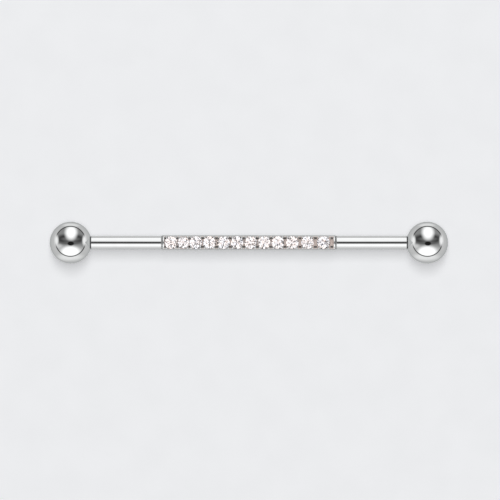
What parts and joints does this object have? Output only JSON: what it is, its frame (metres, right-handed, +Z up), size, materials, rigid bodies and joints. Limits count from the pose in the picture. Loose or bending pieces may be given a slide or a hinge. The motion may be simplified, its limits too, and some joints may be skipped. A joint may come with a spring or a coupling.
{
  "type": "industrial barbell",
  "caption": "Straight industrial barbell: a steel bar with a screw-on ball at each end and a row of bead-set round white stones along its middle.",
  "frame": {"origin": "under the middle of the bar, at the height of the two balls' lowest points, which it rests on", "axes": "+X along the bar to the right ball, +Z up, the way that the stones face"},
  "size_m": [0.0478, 0.005, 0.005],
  "materials": {
    "steel": "polished",
    "stone": "polished"
  },
  "bodies": {
    "bar": {"bar": "steel", "stone_01": "stone", "stone_02": "stone", "stone_03": "stone", "stone_04": "stone", "stone_05": "stone", "stone_06": "stone", "stone_07": "stone", "stone_08": "stone", "stone_09": "stone", "stone_10": "stone", "stone_11": "stone", "stone_12": "stone"},
    "left_ball": {"left_ball": "steel"},
    "right_ball": {"right_ball": "steel"}
  },
  "joints": [
    {"name": "left_ball_unscrew", "type": "slide", "parent": "bar", "child": "left_ball", "axis": [-1, 0, 0], "range_m": [0, 0.008]},
    {"name": "right_ball_unscrew", "type": "slide", "parent": "bar", "child": "right_ball", "axis": [1, 0, 0], "range_m": [0, 0.008]}
  ]
}
